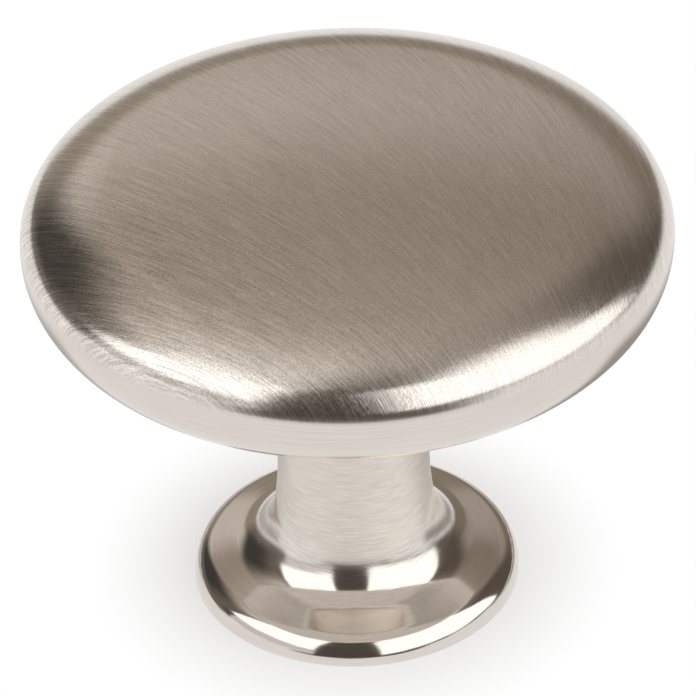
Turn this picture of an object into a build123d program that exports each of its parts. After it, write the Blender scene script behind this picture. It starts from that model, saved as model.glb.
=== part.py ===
"""Cabinet knob: a solid zinc casting turned about +Z, standing on its foot, with a blind tapped hole from below."""

import os
from math import cos, radians, sin, tan

from build123d import *

# Overall sizes, in millimetres
knob_height = 24.5
head_diameter = 32.0
stem_diameter = 7.6
foot_diameter = 16.5

# Head: a low dome, a wide crown, the shoulder's round, a narrow band and a large round below it
dome_slope = 7.0
crown_radius = 8.0
shoulder_turn = 56.0
shoulder_radius = 2.1
band_height = 0.1
lower_round_radius = 3.35
underside_slope = 10.0
throat_radius = 2.5

# Foot: the stem flares into a cove, and the rim is a quarter round that stands on the door
flare_angle = 9.0
flare_height = 3.6
rim_radius = 1.35

# Sole: a tapped blind hole for an M4 screw, with a shallow relief round its boss
tap_diameter = 3.3
tap_depth = 12.0
tap_mouth_diameter = 4.4
tap_mouth_angle = 90.0
drill_point_angle = 118.0
boss_diameter = 7.4
seat_width = 1.75
relief_depth = 0.6

head_radius = head_diameter / 2
stem_radius = stem_diameter / 2
foot_radius = foot_diameter / 2
tap_radius = tap_diameter / 2
relief_radius = foot_radius - seat_width

# The shoulder turns in from the band, the crown turns on to the dome, and the dome's centre is on the axis
crown_turn = 90 - dome_slope
dome_edge = (
    head_radius
    - shoulder_radius * (1 - cos(radians(shoulder_turn)))
    - crown_radius * (cos(radians(shoulder_turn)) - cos(radians(crown_turn)))
)
dome_radius = dome_edge / sin(radians(dome_slope))
dome_rise = dome_radius * (1 - cos(radians(dome_slope)))
crown_rise = crown_radius * (sin(radians(crown_turn)) - sin(radians(shoulder_turn)))
shoulder_rise = shoulder_radius * sin(radians(shoulder_turn))
band_top = knob_height - dome_rise - crown_rise - shoulder_rise
band_bottom = band_top - band_height

# The underside is a cone that touches the lower round and, by the throat's arc, the stem
underside_edge = (
    head_radius - lower_round_radius * (1 - sin(radians(underside_slope))),
    band_bottom - lower_round_radius * cos(radians(underside_slope)),
)
throat_width = throat_radius * (1 - sin(radians(underside_slope)))
throat_top = underside_edge[1] - tan(radians(underside_slope)) * (
    underside_edge[0] - stem_radius - throat_width
)
stem_top = throat_top - throat_radius * cos(radians(underside_slope))

# The cove fills what the flare and the rim leave of the foot's width
flare_radius = flare_height / sin(radians(flare_angle))
flare_width = flare_radius * (1 - cos(radians(flare_angle)))
cove_radius = (foot_radius - rim_radius - stem_radius - flare_width) / cos(radians(flare_angle))

with BuildPart() as knob:
    # Turned body, from the sole's centre out, up the outline and back to the axis
    with BuildSketch(Plane.XZ):
        with BuildLine():
            sole = Line((0, 0), (foot_radius, 0))
            rim = JernArc(sole @ 1, (0, 1), rim_radius, 90)
            cove = JernArc(rim @ 1, rim % 1, cove_radius, flare_angle - 90)
            flare = JernArc(cove @ 1, cove % 1, flare_radius, -flare_angle)
            stem = Line(flare @ 1, (stem_radius, stem_top))
            throat = JernArc(stem @ 1, stem % 1, throat_radius, underside_slope - 90)
            underside = Line(throat @ 1, underside_edge)
            lower_round = JernArc(underside @ 1, underside % 1, lower_round_radius, 90 - underside_slope)
            band = Line(lower_round @ 1, (head_radius, band_top))
            shoulder = JernArc(band @ 1, band % 1, shoulder_radius, shoulder_turn)
            crown = JernArc(shoulder @ 1, shoulder % 1, crown_radius, crown_turn - shoulder_turn)
            dome = JernArc(crown @ 1, crown % 1, dome_radius, dome_slope)
            Line(dome @ 1, sole @ 0)
        make_face()
    revolve(axis=Axis.Z)

    # Relief cast into the sole, which leaves a seat at the rim and a boss at the hole
    with BuildSketch():
        Circle(relief_radius)
        Circle(boss_diameter / 2, mode=Mode.SUBTRACT)
    extrude(amount=relief_depth, mode=Mode.SUBTRACT)

    # Tapped hole: chamfered mouth, drilled wall and the drill's point
    with Locations(Plane.XY.rotated((180, 0, 0))):
        CounterSinkHole(tap_radius, tap_mouth_diameter / 2, tap_depth, tap_mouth_angle)
    with Locations((0, 0, tap_depth)):
        Cone(
            tap_radius,
            0,
            tap_radius / tan(radians(drill_point_angle / 2)),
            align=(Align.CENTER, Align.CENTER, Align.MIN),
            mode=Mode.SUBTRACT,
        )

knob.part.label = "knob"

os.makedirs("parts", exist_ok=True)
export_step(knob.part, "parts/knob.step")
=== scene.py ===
"""Dresses the cabinet knob: a turned body in brushed satin nickel with a polished foot, on a pale table."""

from math import cos, e, hypot, pi, radians, sin, tan

import bpy
from mathutils import Matrix, Vector


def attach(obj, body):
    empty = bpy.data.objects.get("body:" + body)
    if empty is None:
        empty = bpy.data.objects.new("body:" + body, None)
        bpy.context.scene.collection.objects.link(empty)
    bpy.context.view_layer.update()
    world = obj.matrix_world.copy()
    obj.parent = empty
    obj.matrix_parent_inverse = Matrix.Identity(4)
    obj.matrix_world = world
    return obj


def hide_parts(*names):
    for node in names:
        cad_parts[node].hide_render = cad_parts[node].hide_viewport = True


bl_info = {
    "name": "Cabinet Knob",
    "version": (1, 0, 0),
    "blender": (4, 5, 0),
    "location": "3D View > Sidebar > Knob",
    "description": "Builds a turned cabinet knob with a brushed metal finish and a small studio round it",
    "category": "Object",
}

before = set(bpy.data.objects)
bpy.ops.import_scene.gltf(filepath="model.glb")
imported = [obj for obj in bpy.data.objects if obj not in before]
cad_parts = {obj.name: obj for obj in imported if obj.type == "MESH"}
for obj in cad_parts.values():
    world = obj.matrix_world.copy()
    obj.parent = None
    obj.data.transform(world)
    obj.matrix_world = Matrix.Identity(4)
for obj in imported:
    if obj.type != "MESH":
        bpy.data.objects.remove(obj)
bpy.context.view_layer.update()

MM = 0.001

# The cove's round is this share of the largest that its corner has room for
COVE_SHARE = 0.999


class Value:
    """A node output that takes part in arithmetic, where each step adds its Math node."""

    def __init__(self, graph, socket):
        self.graph = graph
        self.socket = socket

    def maths(self, operation, *values, **settings):
        sockets = {0: self}
        for place, value in enumerate(values, 1):
            sockets[place] = value
        return self.graph.node("ShaderNodeMath", {"operation": operation, **settings}, sockets)[0]

    def __add__(self, other):
        return self.maths("ADD", other)

    __radd__ = __add__

    def __sub__(self, other):
        return self.maths("SUBTRACT", other)

    def __rsub__(self, other):
        return (-self) + other

    def __mul__(self, other):
        return self.maths("MULTIPLY", other)

    __rmul__ = __mul__

    def __truediv__(self, other):
        return self.maths("DIVIDE", other)

    def __neg__(self):
        return self.maths("MULTIPLY", -1)

    def __gt__(self, other):
        return self.maths("GREATER_THAN", other)

    def __lt__(self, other):
        return self.maths("LESS_THAN", other)

    def rise(self, low, high):
        """0 up to low, 1 from high, and a smooth step between them."""
        sockets = {"Value": self, "From Min": low, "From Max": high}
        return self.graph.node("ShaderNodeMapRange", {"interpolation_type": "SMOOTHSTEP"}, sockets)[0]


class Made:
    """A node in a graph, whose outputs are taken by name or place."""

    def __init__(self, graph, node):
        self.graph = graph
        self.node = node

    def __getitem__(self, output):
        return Value(self.graph, self.node.outputs[output])


class Graph:
    """A node tree that is being built, with one call for a node of any type."""

    def __init__(self, tree):
        self.tree = tree
        tree.nodes.clear()

    def node(self, kind, settings=None, sockets=None):
        made = self.tree.nodes.new(kind)
        for name, value in (settings or {}).items():
            setattr(made, name, value)
        for name, value in (sockets or {}).items():
            if isinstance(value, Value):
                self.tree.links.new(value.socket, made.inputs[name])
            else:
                made.inputs[name].default_value = value
        return Made(self, made)


class KnobSizes(bpy.types.PropertyGroup):
    """Sizes of the turned body. All but those of the flange's slope and the thread are the solid's too."""

    knob_height: bpy.props.FloatProperty(
        name="Height", description="From the sole to the top of the dome", default=24.5 * MM, unit="LENGTH"
    )
    head_diameter: bpy.props.FloatProperty(
        name="Head Diameter",
        description="Across the widest circle of the head",
        default=32 * MM,
        unit="LENGTH",
    )
    stem_diameter: bpy.props.FloatProperty(
        name="Stem Diameter",
        description="Across the straight part of the stem",
        default=7.6 * MM,
        unit="LENGTH",
    )
    foot_diameter: bpy.props.FloatProperty(
        name="Foot Diameter", description="Across the foot's rim", default=16.5 * MM, unit="LENGTH"
    )
    dome_slope: bpy.props.FloatProperty(
        name="Dome Slope",
        description="Slope of the top face at its edge",
        default=radians(7),
        subtype="ANGLE",
    )
    crown_radius: bpy.props.FloatProperty(
        name="Crown Radius",
        description="Wide round from the dome to the shoulder",
        default=8 * MM,
        unit="LENGTH",
    )
    shoulder_turn: bpy.props.FloatProperty(
        name="Shoulder Turn",
        description="How far the shoulder turns in from the band",
        default=radians(56),
        subtype="ANGLE",
    )
    shoulder_radius: bpy.props.FloatProperty(
        name="Shoulder Radius",
        description="Round from the band to the crown",
        default=2.1 * MM,
        unit="LENGTH",
    )
    band_height: bpy.props.FloatProperty(
        name="Band Height", description="Straight band at the widest circle", default=0.1 * MM, unit="LENGTH"
    )
    lower_round_radius: bpy.props.FloatProperty(
        name="Lower Round Radius",
        description="Round from the band to the underside",
        default=3.35 * MM,
        unit="LENGTH",
    )
    underside_slope: bpy.props.FloatProperty(
        name="Underside Slope",
        description="Slope of the cone under the head",
        default=radians(10),
        subtype="ANGLE",
    )
    throat_radius: bpy.props.FloatProperty(
        name="Throat Radius",
        description="Round from the underside to the stem",
        default=2.5 * MM,
        unit="LENGTH",
    )
    flare_angle: bpy.props.FloatProperty(
        name="Flare Angle",
        description="How far the stem leans out where the cove begins",
        default=radians(9),
        subtype="ANGLE",
    )
    flare_height: bpy.props.FloatProperty(
        name="Flare Height", description="Height over which the stem widens", default=3.6 * MM, unit="LENGTH"
    )
    flange_slope: bpy.props.FloatProperty(
        name="Flange Slope",
        description="Slope of the foot between the rim and the cove",
        default=radians(13),
        subtype="ANGLE",
    )
    rim_radius: bpy.props.FloatProperty(
        name="Rim Radius", description="Quarter round of the foot's rim", default=1.35 * MM, unit="LENGTH"
    )
    tap_diameter: bpy.props.FloatProperty(
        name="Tap Drill Diameter",
        description="Across the crests of the thread",
        default=3.3 * MM,
        unit="LENGTH",
    )
    tap_depth: bpy.props.FloatProperty(
        name="Tap Drill Depth", description="Depth of the drilled wall", default=12 * MM, unit="LENGTH"
    )
    tap_mouth_diameter: bpy.props.FloatProperty(
        name="Mouth Diameter", description="Across the hole's chamfer", default=4.4 * MM, unit="LENGTH"
    )
    drill_point_angle: bpy.props.FloatProperty(
        name="Drill Point Angle",
        description="Angle of the cone at the hole's end",
        default=radians(118),
        subtype="ANGLE",
    )
    thread_diameter: bpy.props.FloatProperty(
        name="Thread Diameter", description="Across the roots of the thread", default=4 * MM, unit="LENGTH"
    )
    thread_pitch: bpy.props.FloatProperty(
        name="Thread Pitch", description="Rise of one turn of the thread", default=0.7 * MM, unit="LENGTH"
    )
    thread_depth: bpy.props.FloatProperty(
        name="Thread Depth",
        description="How far up the hole the thread is cut",
        default=10 * MM,
        unit="LENGTH",
    )
    boss_diameter: bpy.props.FloatProperty(
        name="Boss Diameter", description="Across the boss round the hole", default=7.4 * MM, unit="LENGTH"
    )
    seat_width: bpy.props.FloatProperty(
        name="Seat Width",
        description="Ring of the sole that stands on the door",
        default=1.75 * MM,
        unit="LENGTH",
    )
    relief_depth: bpy.props.FloatProperty(
        name="Relief Depth",
        description="Depth of the ring between boss and seat",
        default=0.6 * MM,
        unit="LENGTH",
    )
    segments: bpy.props.IntProperty(
        name="Segments", description="Faces round the axis", default=192, min=24, max=256
    )


class KnobFinish(bpy.types.PropertyGroup):
    """Colour and surface of the metal."""

    nickel: bpy.props.FloatVectorProperty(
        name="Nickel", description="Colour of the metal", default=(0.715, 0.665, 0.615), subtype="COLOR"
    )
    satin_roughness: bpy.props.FloatProperty(
        name="Satin Roughness", description="Gloss of the brushed head", default=0.19, subtype="FACTOR"
    )
    stem_roughness: bpy.props.FloatProperty(
        name="Stem Roughness", description="Gloss of the stem", default=0.5, subtype="FACTOR"
    )
    foot_roughness: bpy.props.FloatProperty(
        name="Foot Roughness", description="Gloss of the polished foot", default=0.1, subtype="FACTOR"
    )
    brush_centre: bpy.props.FloatVectorProperty(
        name="Brush Centre", description="Point that the strokes on the top fan out from", size=2,
        default=(14.4 * MM, -36.6 * MM), unit="LENGTH",
    )
    brush_twist: bpy.props.FloatProperty(
        name="Brush Twist",
        description="How far the strokes turn off the fan",
        default=radians(12.5),
        subtype="ANGLE",
    )
    brush_depth: bpy.props.FloatProperty(
        name="Brush Depth", description="Depth of the strokes", default=0.004 * MM, unit="LENGTH"
    )
    polish_height: bpy.props.FloatProperty(
        name="Polish Height",
        description="Height up to which the foot is polished",
        default=2.7 * MM,
        unit="LENGTH",
    )


class KnobStage(bpy.types.PropertyGroup):
    """Table, lights and camera."""

    floor_size: bpy.props.FloatProperty(
        name="Floor Size", description="Side of the table", default=6.0, unit="LENGTH"
    )
    floor_shade: bpy.props.FloatProperty(
        name="Floor Shade", description="How pale the table is", default=0.86, subtype="FACTOR"
    )
    panel_distance: bpy.props.FloatProperty(
        name="Panel Distance", description="From the knob to each light panel", default=0.6, unit="LENGTH"
    )
    panel_radiance: bpy.props.FloatProperty(
        name="Panel Radiance", description="Brightness of the light panels", default=1.5
    )
    camera_distance: bpy.props.FloatProperty(
        name="Camera Distance",
        description="From the camera to the middle of the knob",
        default=0.35,
        unit="LENGTH",
    )
    camera_aim: bpy.props.FloatProperty(
        name="Camera Aim", description="Height that the camera looks at", default=12.5 * MM, unit="LENGTH"
    )
    camera_elevation: bpy.props.FloatProperty(
        name="Camera Elevation",
        description="How far the camera looks down",
        default=radians(36.903),
        subtype="ANGLE",
    )
    camera_roll: bpy.props.FloatProperty(
        name="Camera Roll", description="Turn of the picture", default=radians(-1.6754), subtype="ANGLE"
    )
    camera_yaw: bpy.props.FloatProperty(
        name="Camera Yaw",
        description="How far the camera looks past the middle",
        default=radians(-0.0201),
        subtype="ANGLE",
    )
    camera_pitch: bpy.props.FloatProperty(
        name="Camera Pitch",
        description="How far the camera looks over the middle",
        default=radians(0.1441),
        subtype="ANGLE",
    )
    camera_lens: bpy.props.FloatProperty(
        name="Camera Lens",
        description="Focal length for a 36 mm sensor",
        default=365.25,
        subtype="DISTANCE_CAMERA",
    )


def body_corners(size):
    """Corners of the outline from the hole's end to the top, as (radius, height, round, steps, cuts).

    A corner with a round becomes an arc of that radius in that many steps, and cuts divide the run after it.
    """
    head = size["head_diameter"] / 2
    stem = size["stem_diameter"] / 2
    foot = size["foot_diameter"] / 2
    bore = size["tap_diameter"] / 2
    mouth = size["tap_mouth_diameter"] / 2
    boss = size["boss_diameter"] / 2
    relief = foot - size["seat_width"]

    # The foot: the rim's round, the sloping flange, the cove and the flare
    rim = size["rim_radius"]
    lean = size["flare_angle"]
    flange = size["flange_slope"]
    lean_rise = lean.maths("TANGENT")
    flange_rise = flange.maths("TANGENT")
    rim_corner = rim * ((pi / 2 - flange) / 2).maths("TANGENT")
    flare_radius = size["flare_height"] / lean.maths("SINE")
    flare_foot = stem + flare_radius * (1 - lean.maths("COSINE"))
    flare_bottom = rim + (foot - rim - flare_foot) * (1 - lean.maths("SINE")) / lean.maths("COSINE")
    flare_corner = flare_bottom + size["flare_height"] - flare_radius * (lean / 2).maths("TANGENT")
    cove_height = rim_corner + (foot - flare_foot - flare_bottom * lean_rise) * flange_rise
    cove_height = cove_height / (1 - lean_rise * flange_rise)
    cove_run = (flare_bottom - cove_height) / lean.maths("COSINE")
    cove_corner = flare_foot + cove_run * lean.maths("SINE")
    largest_cove = cove_run / ((pi / 2 - lean - flange) / 2).maths("TANGENT")
    cove_radius = largest_cove * COVE_SHARE

    # The head: the dome, the crown, the shoulder, the band, and the cone that touches the lower round
    slope = size["dome_slope"]
    turn = size["shoulder_turn"]
    under = size["underside_slope"]
    shoulder = size["shoulder_radius"]
    crown = size["crown_radius"]
    crown_edge = head - shoulder * (1 - turn.maths("COSINE"))
    dome_edge = crown_edge - crown * (turn.maths("COSINE") - slope.maths("SINE"))
    dome_radius = dome_edge / slope.maths("SINE")
    dome_rise = dome_radius * (1 - slope.maths("COSINE"))
    crown_rise = crown * (slope.maths("COSINE") - turn.maths("SINE"))
    crown_foot = size["knob_height"] - dome_rise - crown_rise
    band_top = crown_foot - shoulder * turn.maths("SINE")
    band_bottom = band_top - size["band_height"]
    shoulder_corner = band_top + shoulder * (turn / 2).maths("TANGENT")
    crown_reach = crown * ((pi / 2 - slope - turn) / 2).maths("TANGENT")
    crown_corner = crown_edge - crown_reach * turn.maths("SINE")
    crown_height = crown_foot + crown_reach * turn.maths("COSINE")
    lower_corner = band_bottom - size["lower_round_radius"] * ((pi / 2 - under) / 2).maths("TANGENT")
    throat_corner = lower_corner - under.maths("TANGENT") * (head - stem)

    point = size["tap_depth"] + bore / (size["drill_point_angle"] / 2).maths("TANGENT")
    cuts = (size["thread_depth"] / size["thread_pitch"] * 8).maths("ROUND")
    return [
        (0.0, point, 0.0, 1, 4),
        (bore, size["tap_depth"], 0.0, 1, 4),
        (bore, size["thread_depth"], 0.0, 1, cuts),
        (bore, mouth - bore, 0.0, 1, 3),
        (mouth, 0.0, 0.0, 1, 3),
        (boss, 0.0, 0.0, 1, 1),
        (boss, size["relief_depth"], 0.0, 1, 4),
        (relief, size["relief_depth"], 0.0, 1, 1),
        (relief, 0.0, 0.0, 1, 3),
        (foot, 0.0, 0.0, 1, 0),
        (foot, rim_corner, rim, 28, 0),
        (cove_corner, cove_height, cove_radius, 44, 0),
        (stem, flare_corner, flare_radius, 12, 0),
        (stem, throat_corner, size["throat_radius"], 36, 0),
        (head, lower_corner, size["lower_round_radius"], 40, 0),
        (head, shoulder_corner, shoulder, 40, 0),
        (crown_corner, crown_height, crown, 32, 0),
        (dome_radius * (slope / 2).maths("TANGENT"), size["knob_height"], dome_radius, 40, 0),
        (0.0, size["knob_height"], 0.0, 1, 0),
    ]


def turned_body_tree(sizes):
    """Geometry Nodes that turn the outline about the axis and cut the thread, with an input for each size."""
    tree = bpy.data.node_groups.new("Turned Body", "GeometryNodeTree")
    tree.interface.new_socket("Body", in_out="OUTPUT", socket_type="NodeSocketGeometry")
    tree.interface.new_socket("Finish", in_out="INPUT", socket_type="NodeSocketMaterial")
    for name in sizes:
        kind = "NodeSocketInt" if name == "segments" else "NodeSocketFloat"
        tree.interface.new_socket(name, in_out="INPUT", socket_type=kind)
    graph = Graph(tree)
    given = graph.node("NodeGroupInput")
    size = {name: given[name] for name in sizes}
    corners = body_corners(size)
    index = graph.node("GeometryNodeInputIndex")[0]

    def by_corner(kind, values):
        """Field that gives each corner its own value."""
        switch = graph.node("GeometryNodeIndexSwitch", {"data_type": kind}, {"Index": index})
        while len(switch.node.index_switch_items) < len(values):
            switch.node.index_switch_items.new()
        for socket, value in zip(switch.node.inputs[1:], values):
            if isinstance(value, Value):
                tree.links.new(value.socket, socket)
            else:
                socket.default_value = value
        return switch[0]

    # The outline's radius is measured from the circle that it is swept along
    sweep = size["head_diameter"] / 2
    places = [
        graph.node("ShaderNodeCombineXYZ", None, {"X": r - sweep, "Y": -z})[0] for r, z, *_ in corners
    ]
    line = graph.node("GeometryNodeMeshLine", None, {"Count": len(corners)})["Mesh"]
    polygon = graph.node("GeometryNodeMeshToCurve", None, {"Mesh": line})["Curve"]
    polygon = graph.node(
        "GeometryNodeSetPosition", None, {"Geometry": polygon, "Position": by_corner("VECTOR", places)}
    )["Geometry"]
    # The cuts shift the order of the corners, so each corner's round and steps are kept with it first
    for name, kind, column in (("round", "FLOAT", 2), ("steps", "INT", 3)):
        sockets = {"Geometry": polygon, "Name": name, "Value": by_corner(kind, [c[column] for c in corners])}
        polygon = graph.node("GeometryNodeStoreNamedAttribute", {"data_type": kind}, sockets)["Geometry"]
    cuts = by_corner("INT", [c[4] for c in corners])
    polygon = graph.node("GeometryNodeSubdivideCurve", None, {"Curve": polygon, "Cuts": cuts})["Curve"]
    kept = {
        name: graph.node("GeometryNodeInputNamedAttribute", {"data_type": kind}, {"Name": name})["Attribute"]
        for name, kind in (("round", "FLOAT"), ("steps", "INT"))
    }
    outline = graph.node(
        "GeometryNodeFilletCurve",
        {"mode": "POLY"},
        {"Curve": polygon, "Radius": kept["round"], "Count": kept["steps"]},
    )["Curve"]
    circle = graph.node(
        "GeometryNodeCurvePrimitiveCircle", None, {"Resolution": size["segments"], "Radius": sweep}
    )["Curve"]
    turned = graph.node("GeometryNodeCurveToMesh", None, {"Curve": circle, "Profile Curve": outline})["Mesh"]
    turned = graph.node("GeometryNodeFlipFaces", None, {"Mesh": turned})["Mesh"]
    turned = graph.node(
        "GeometryNodeMergeByDistance", None, {"Geometry": turned, "Distance": 0.0004 * MM}
    )["Geometry"]

    # The thread is a helical groove in the bore's wall, which runs out at both ends
    place = graph.node("GeometryNodeInputPosition")[0]
    at = graph.node("ShaderNodeSeparateXYZ", None, {"Vector": place})
    reach = (at["X"] * at["X"] + at["Y"] * at["Y"]).maths("SQRT")
    turn = at["Y"].maths("ARCTAN2", at["X"]) / (2 * pi)
    phase = (at["Z"] / size["thread_pitch"] - turn).maths("FRACT")
    groove = 1 - (phase - 0.5).maths("ABSOLUTE") * 2
    groove = (groove * 1.5 - 0.25).maths("ADD", 0.0, use_clamp=True)
    start = (size["tap_mouth_diameter"] - size["tap_diameter"]) / 2
    half_turn = size["thread_pitch"] / 2
    run_in = at["Z"].rise(start, start + half_turn)
    run_out = 1 - at["Z"].rise(size["thread_depth"] - half_turn, size["thread_depth"])
    depth = (size["thread_diameter"] - size["tap_diameter"]) / 2 * groove * run_in * run_out
    in_bore = reach < size["tap_diameter"] / 2 + 0.01 * MM
    outward = graph.node("ShaderNodeCombineXYZ", None, {"X": at["X"] / reach, "Y": at["Y"] / reach})[0]
    offset = graph.node("ShaderNodeVectorMath", {"operation": "SCALE"}, {0: outward, "Scale": depth})[0]
    turned = graph.node(
        "GeometryNodeSetPosition", None, {"Geometry": turned, "Selection": in_bore, "Offset": offset}
    )["Geometry"]

    # Faces are smooth but for the edges of the sole, the hole and the relief
    bend = graph.node("GeometryNodeInputMeshEdgeAngle")["Unsigned Angle"]
    turned = graph.node(
        "GeometryNodeSetShadeSmooth", None, {"Geometry": turned, "Shade Smooth": True}
    )["Geometry"]
    turned = graph.node(
        "GeometryNodeSetShadeSmooth",
        {"domain": "EDGE"},
        {"Geometry": turned, "Selection": bend > radians(35), "Shade Smooth": False},
    )["Geometry"]
    turned = graph.node("GeometryNodeRealizeInstances", None, {"Geometry": turned})["Geometry"]
    turned = graph.node(
        "GeometryNodeSetMaterial", None, {"Geometry": turned, "Material": given["Finish"]}
    )["Geometry"]
    graph.node("NodeGroupOutput", None, {"Body": turned})
    return tree


def mesh_from_tree(name, tree, inputs):
    """Plain mesh object made by a Geometry Nodes tree with these inputs."""
    seed = bpy.data.objects.new(name + "_seed", bpy.data.meshes.new(name + "_seed"))
    bpy.context.scene.collection.objects.link(seed)
    modifier = seed.modifiers.new(tree.name, "NODES")
    modifier.node_group = tree
    for item in tree.interface.items_tree:
        if item.item_type == "SOCKET" and item.in_out == "INPUT":
            modifier[item.identifier] = inputs[item.name]
    evaluated = seed.evaluated_get(bpy.context.evaluated_depsgraph_get())
    mesh = bpy.data.meshes.new_from_object(evaluated)
    bpy.data.objects.remove(seed)
    for attribute in ("round", "steps"):
        if attribute in mesh.attributes:
            mesh.attributes.remove(mesh.attributes[attribute])
    piece = bpy.data.objects.new(name, mesh)
    mesh.name = name
    bpy.context.scene.collection.objects.link(piece)
    return piece


def new_material(name):
    """Empty node material and its graph."""
    material = bpy.data.materials.new(name)
    material.use_nodes = True
    return material, Graph(material.node_tree)


def satin_nickel(finish, sizes):
    """Nickel brushed across the head and round the stem, and polished at the foot.

    The strokes and the heights where one finish gives way to the next are in millimetres.
    """
    material, graph = new_material("satin_nickel")
    place = graph.node("ShaderNodeTexCoord")["Object"]
    at = graph.node("ShaderNodeSeparateXYZ", None, {"Vector": place})
    x, y, z = (at[axis] / MM for axis in "XYZ")

    def noise(vector, scale, detail):
        """Soft noise on both sides of zero."""
        sockets = {"Vector": vector, "Scale": scale, "Detail": detail}
        return graph.node("ShaderNodeTexNoise", None, sockets)["Fac"] - 0.5

    def hairs(across, along, width, length, seed):
        """Fine lines of this width and length that run along."""
        sockets = {"X": across / width, "Y": along / length, "Z": seed}
        return noise(graph.node("ShaderNodeCombineXYZ", None, sockets)[0], 1.0, 1.0)

    def scratches(across, along, width, length):
        """Sharp scratches side by side, each with a tone of its own."""
        strand = (across / width).maths("FLOOR")
        shift = graph.node("ShaderNodeTexWhiteNoise", {"noise_dimensions": "1D"}, {"W": strand})["Value"]
        part = (along / length + shift * 5).maths("FLOOR")
        vector = graph.node("ShaderNodeCombineXYZ", None, {"X": strand, "Y": part})[0]
        tones = graph.node("ShaderNodeTexWhiteNoise", {"noise_dimensions": "2D"}, {"Vector": vector})
        return tones["Value"] - 0.5

    # On the top the strokes fan out from a point past the rim
    centre_x, centre_y = (v / MM for v in finish.brush_centre)
    off_x, off_y = x - centre_x, y - centre_y
    far = hypot(centre_x, centre_y)
    fan_reach = (off_x * off_x + off_y * off_y).maths("LOGARITHM", e) * (far / 2)
    fan_turn = off_y.maths("ARCTAN2", off_x) * far

    def fan_place(twist):
        """Place across and along the strokes on the top, turned off the fan by this angle."""
        across = fan_turn * cos(twist) - fan_reach * sin(twist)
        along = fan_reach * cos(twist) + fan_turn * sin(twist)
        return across, along

    # The foot is polished, up to a lower height at its left and right than at its front
    aside = x * x / (x * x + y * y + 0.01)
    brushed_above = finish.polish_height / MM - aside * 0.7
    polished = 1 - (z - brushed_above).rise(-0.4, 0.4)
    on_stem = (z - aside * 1.5).rise(2.8, 4.0) * (1 - z.rise(12.0, 14.5))
    band = sizes.knob_height / MM - 3.75
    on_top = z.rise(band + 0.1, band + 0.9)
    # Strokes on the top tone the colour; at the front left they tone it twice as strongly, and that extra
    # contrast is painted glints of the strokes near the highlights
    stroke_tone_and_glints = on_top * ((-x - y).rise(2, 22) + 1)

    # Two sets of strokes cross at a small angle, with the scratches between them
    twist = finish.brush_twist
    top_lines = hairs(*fan_place(twist - 0.05), 0.026, 1.4, 3.1)
    top_lines = top_lines + hairs(*fan_place(twist + 0.04), 0.038, 2.4, 9.4)
    fine_lines = scratches(*fan_place(twist - 0.02), 0.04, 2.4)
    fine_lines = fine_lines + scratches(*fan_place(twist + 0.06), 0.05, 1.5)

    # Below the top the strokes run round the axis, and are faint on the polished foot and the band
    round_along = y.maths("ARCTAN2", x) * 8
    side_lines = hairs(z, round_along, 0.035, 1.5, 5.7) + hairs(z, round_along, 0.08, 3.0, 1.9)
    side_depth = (1 - polished * 0.5) * (0.5 - z.rise(16, 18) * 0.3)
    side_strokes = side_lines * side_depth * (1 - on_top)

    lines = top_lines * on_top + side_strokes
    grooves = top_lines * on_top * 0.65 + side_strokes * (1 + on_stem * 1.2)
    bump = graph.node(
        "ShaderNodeBump",
        None,
        {"Strength": 1.0, "Distance": 1.0, "Height": grooves * finish.brush_depth},
    )["Normal"]

    satin = finish.satin_roughness * (1 - on_stem) + finish.stem_roughness * on_stem + lines * 0.12
    roughness = satin * (1 - polished) + (finish.foot_roughness + side_lines * 0.03) * polished

    # The tone runs from the deep colour at 0 to the pale one at 1, and is the nickel's own at 0.5
    cloud = noise(place, 180.0, 2.0)
    speckle = noise(place, 14000.0, 0.0)
    # On the top the strokes and speckle tone the colour, with painted glints where that tone is doubled at the
    # front left
    tone = lines * (1 - on_top + stroke_tone_and_glints * 0.4 - polished * 0.4) + (fine_lines * 0.15 + speckle * 0.5) * stroke_tone_and_glints
    # The stem is painted paler, as painted light for the brightness it catches from the panels and the table
    tone = tone + cloud * 0.06 + on_stem * 0.15 + 0.5
    pale = [min(1, 1.38 * c) for c in finish.nickel] + [1]
    deep = [0.62 * c for c in finish.nickel] + [1]
    colour = graph.node("ShaderNodeMix", {"data_type": "RGBA"}, {"Factor": tone, 6: deep, 7: pale})[2]
    shader = graph.node(
        "ShaderNodeBsdfPrincipled",
        None,
        {"Base Color": colour, "Metallic": 1.0, "Roughness": roughness, "Normal": bump},
    )[0]
    graph.node("ShaderNodeOutputMaterial", None, {"Surface": shader})
    return material


class KNOB_OT_body(bpy.types.Operator):
    """Turn the knob's body from its outline, cut the thread and give it the nickel finish"""

    bl_idname = "knob.body"
    bl_label = "Turned Body"

    def execute(self, context):
        sizes = context.scene.knob_sizes
        finish = context.scene.knob_finish
        names = list(KnobSizes.__annotations__)
        inputs = {name: getattr(sizes, name) for name in names}
        inputs["Finish"] = satin_nickel(finish, sizes)
        body = mesh_from_tree("knob_body", turned_body_tree(names), inputs)
        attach(body, "root")
        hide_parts("knob")
        return {"FINISHED"}


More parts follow.
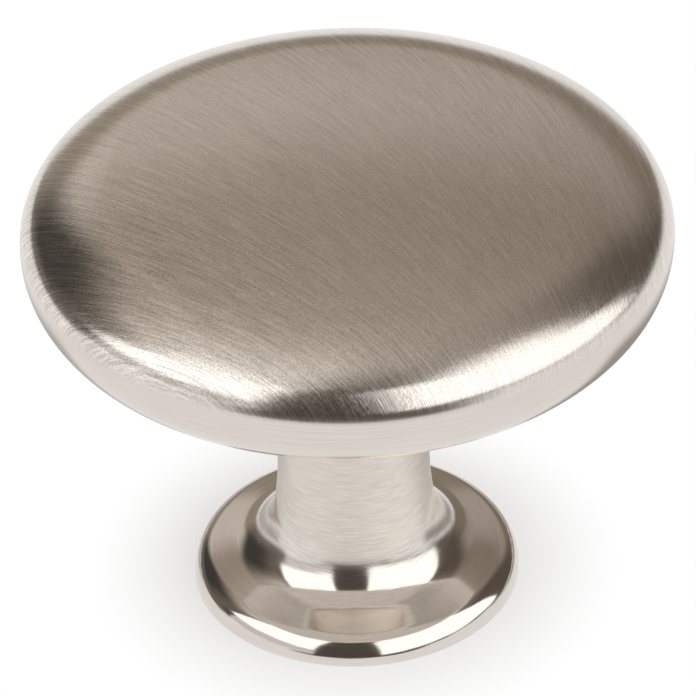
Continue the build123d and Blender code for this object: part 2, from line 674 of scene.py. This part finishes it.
def make_floor(stage):
    """Pale table under the knob, white to the camera away from the knob's own shadow."""
    half = stage.floor_size / 2
    corners = [(-half, -half, 0), (half, -half, 0), (half, half, 0), (-half, half, 0)]
    mesh = bpy.data.meshes.new("floor")
    mesh.from_pydata(corners, [], [(0, 1, 2, 3)])
    floor = bpy.data.objects.new("floor", mesh)
    bpy.context.scene.collection.objects.link(floor)
    material, graph = new_material("table")
    path = graph.node("ShaderNodeLightPath")
    at = graph.node("ShaderNodeSeparateXYZ", None, {"Vector": graph.node("ShaderNodeTexCoord")["Object"]})
    away = (at["X"] * at["X"] + at["Y"] * at["Y"]).maths("SQRT")

    def lit(red, green, blue):
        """Even light of this colour, whatever falls on the table."""
        return graph.node("ShaderNodeEmission", None, {"Color": (red, green, blue, 1), "Strength": 1.0})[0]

    def mix(share, first, second):
        return graph.node("ShaderNodeMixShader", None, {0: share, 1: first, 2: second})[0]

    plain = graph.node("ShaderNodeBsdfDiffuse", None, {"Color": [stage.floor_shade] * 3 + [1]})[0]
    seen = away.rise(6 * MM, 14 * MM) * 0.5 + 0.5
    white_share = (path["Is Camera Ray"] * seen).maths("MAXIMUM", path["Is Glossy Ray"] * 0.9)
    shader = mix(white_share, plain, lit(1, 1, 1))
    # In reflections the table is dim behind the knob, where the head shades it
    first_glossy = path["Is Glossy Ray"] * (path["Glossy Depth"] < 1.5)
    bearing = at["X"].maths("ARCTAN2", -at["Y"]) * (180 / pi)
    near = away.rise(10 * MM, 13 * MM) * (1 - away.rise(26 * MM, 42 * MM))
    right_back = bearing.rise(80, 95) * (1 - bearing.rise(140, 160))
    left_back = (-bearing).rise(95, 110) * (1 - (-bearing).rise(145, 165))
    shaded = path["Is Glossy Ray"] * near * (right_back * 0.8 + left_back * 0.6) * (first_glossy * 0.5 + 0.5)
    shader = mix(shaded, shader, lit(0.22, 0.19, 0.16))
    # In reflections the table ends in front of the knob
    ahead = (-at["Y"]).rise(70 * MM, 95 * MM) * (1 - (at["X"].maths("ABSOLUTE") / away).rise(0.45, 0.75))
    shader = mix(first_glossy * ahead, shader, lit(0.12, 0.105, 0.09))
    graph.node("ShaderNodeOutputMaterial", None, {"Surface": shader})
    mesh.materials.append(material)


# Left, right, bottom and top edges of each light panel in degrees, as the knob sees them, and its share of the
# brightness
PANELS = {
    "panel_left": (-96, -30, 26, 69, 1.0),
    "panel_left_low": (-92, -29, 5, 26, 0.43),
    "panel_right": (14, 104, 10, 69, 1.0),
}


def make_panel(name, stage, left, right, bottom, top, share):
    """Upright light panel between these edges, with this share of the brightness."""
    middle = (left + right) / 2
    light = bpy.data.lights.new(name, "AREA")
    light.shape = "RECTANGLE"
    light.size = 2 * stage.panel_distance * tan((right - left) / 2)
    low, high = (stage.panel_distance * tan(angle) for angle in (bottom, top))
    light.size_y = high - low
    light.energy = share * stage.panel_radiance * pi * light.size * light.size_y
    panel = bpy.data.objects.new(name, light)
    towards = Vector((sin(middle), -cos(middle), 0))
    panel.location = towards * stage.panel_distance + Vector((0, 0, (low + high) / 2))
    panel.rotation_euler = (-towards).to_track_quat("-Z", "Y").to_euler()
    panel.visible_camera = False
    bpy.context.scene.collection.objects.link(panel)


def make_world():
    """Dim warm room that the metal reflects, and white for the camera."""
    world = bpy.data.worlds.new("room")
    world.use_nodes = True
    bpy.context.scene.world = world
    graph = Graph(world.node_tree)
    at = graph.node("ShaderNodeSeparateXYZ", None, {"Vector": graph.node("ShaderNodeTexCoord")["Generated"]})
    height = at["Z"].maths("ARCSINE") * (180 / pi)
    azimuth = at["X"].maths("ARCTAN2", -at["Y"]) * (180 / pi)

    def blend(amount, first, second):
        return graph.node("ShaderNodeMix", {"data_type": "RGBA"}, {"Factor": amount, 6: first, 7: second})[2]

    def between(angle, low, high, soft):
        return angle.rise(low - soft, low + soft) * (1 - angle.rise(high - soft, high + soft))

    # Behind the knob stands a pale wall, darker at its foot, with a dim strip across it and a pale ceiling
    wall_foot, wall, strip = (0.34, 0.3, 0.24, 1), (0.67, 0.61, 0.56, 1), (0.37, 0.32, 0.265, 1)
    upper_wall, ceiling = (0.55, 0.49, 0.43, 1), (0.64, 0.59, 0.53, 1)
    back = blend(height.rise(17, 21), wall_foot, wall)
    back = blend(height.rise(29, 38), back, strip)
    back = blend(height.rise(40, 54), back, upper_wall)
    room = blend(height.rise(60, 80), back, ceiling)
    # The right side is dimmer, the left side catches the lamp, and both sides are dark near the table
    right_side, lamp_glow, right_foot = (0.18, 0.14, 0.11, 1), (1.0, 0.96, 0.9, 1), (0.115, 0.095, 0.08, 1)
    room = blend(at["X"].rise(-0.35, 0.55) * 0.65, room, right_side)
    glow = between(azimuth, -125, -30, 15) * height.rise(44, 62)
    room = blend(glow * 0.6, room, lamp_glow)
    low_left = between(azimuth, -150, -90, 6) * (1 - height.rise(34, 54))
    left_foot = blend(azimuth.rise(-128, -104), (0.06, 0.056, 0.051, 1), (0.17, 0.15, 0.13, 1))
    left_foot = blend(between(height, 2, 11, 4), left_foot, (0.19, 0.17, 0.145, 1))
    room = blend(low_left, room, left_foot)
    low_right = between(azimuth, 92, 140, 9) * (1 - height.rise(42, 60))
    room = blend(low_right, room, right_foot)
    # The front is dark but for the panels, and the table shows as a white edge on both sides
    front = between(azimuth, -100, 100, 6) * (1 - height.rise(62, 78))
    front = front.maths("MAXIMUM", between(azimuth, -26, 60, 14) * (1 - height.rise(70, 88)))
    room = blend(front, room, (0.09, 0.079, 0.068, 1))
    table_edge = (1 - height.rise(4, 7)) * (1 - between(azimuth, -42, 42, 8)) * between(azimuth, -98, 98, 8)
    room = blend(table_edge, room, (0.95, 0.95, 0.94, 1))
    # The metal's reflections in itself show a paler room, and the camera sees white
    path = graph.node("ShaderNodeLightPath")
    inner = blend(between(azimuth, -170, -45, 15), (1.0, 0.96, 0.91, 1), (0.5, 0.46, 0.42, 1))
    room = blend(path["Is Glossy Ray"] * (path["Glossy Depth"] > 1.5), room, inner)
    colour = blend(path["Is Camera Ray"], room, (1, 1, 1, 1))
    shader = graph.node("ShaderNodeBackground", None, {"Color": colour, "Strength": 1.0})[0]
    graph.node("ShaderNodeOutputWorld", None, {"Surface": shader})


def make_camera(stage):
    """Camera at the photograph's viewing angle, aimed near the middle height of the knob."""
    elevation, roll = stage.camera_elevation, stage.camera_roll
    yaw, pitch = stage.camera_yaw, stage.camera_pitch
    out = Vector((0, cos(elevation), -sin(elevation)))
    right = Vector((1, 0, 0))
    up = right.cross(out)
    forward = cos(pitch) * (cos(yaw) * out + sin(yaw) * right) + sin(pitch) * up
    right = forward.cross(Vector((0, 0, 1))).normalized()
    up = right.cross(forward)
    right, up = cos(roll) * right + sin(roll) * up, cos(roll) * up - sin(roll) * right
    data = bpy.data.cameras.new("camera")
    data.lens = stage.camera_lens
    data.sensor_width = 36
    data.clip_start = 0.01
    camera = bpy.data.objects.new("camera", data)
    turn = Matrix((right, up, -forward)).transposed().to_4x4()
    aim = Vector((0, 0, stage.camera_aim))
    camera.matrix_world = Matrix.Translation(aim - stage.camera_distance * out) @ turn
    bpy.context.scene.collection.objects.link(camera)
    bpy.context.scene.camera = camera


class KNOB_OT_stage(bpy.types.Operator):
    """Set the table, the light panels, the room and the camera"""

    bl_idname = "knob.stage"
    bl_label = "Stage"

    def execute(self, context):
        stage = context.scene.knob_stage
        make_floor(stage)
        for name, (*edges, share) in PANELS.items():
            make_panel(name, stage, *map(radians, edges), share)
        make_world()
        make_camera(stage)
        context.scene.view_settings.view_transform = "Standard"
        return {"FINISHED"}


class KNOB_PT_panel(bpy.types.Panel):
    """Sizes, finish and stage of the knob"""

    bl_idname = "KNOB_PT_panel"
    bl_label = "Cabinet Knob"
    bl_space_type = "VIEW_3D"
    bl_region_type = "UI"
    bl_category = "Knob"

    def draw(self, context):
        layout = self.layout
        for group in (context.scene.knob_sizes, context.scene.knob_finish, context.scene.knob_stage):
            column = layout.column(align=True)
            for name in type(group).__annotations__:
                column.prop(group, name)
        layout.operator(KNOB_OT_body.bl_idname)
        layout.operator(KNOB_OT_stage.bl_idname)


CLASSES = (KnobSizes, KnobFinish, KnobStage, KNOB_OT_body, KNOB_OT_stage, KNOB_PT_panel)


def register():
    for cls in CLASSES:
        bpy.utils.register_class(cls)
    bpy.types.Scene.knob_sizes = bpy.props.PointerProperty(type=KnobSizes)
    bpy.types.Scene.knob_finish = bpy.props.PointerProperty(type=KnobFinish)
    bpy.types.Scene.knob_stage = bpy.props.PointerProperty(type=KnobStage)


def unregister():
    del bpy.types.Scene.knob_stage
    del bpy.types.Scene.knob_finish
    del bpy.types.Scene.knob_sizes
    for cls in reversed(CLASSES):
        bpy.utils.unregister_class(cls)


def main():
    register()
    bpy.ops.knob.body()
    bpy.ops.knob.stage()


if __name__ == "__main__":
    main()
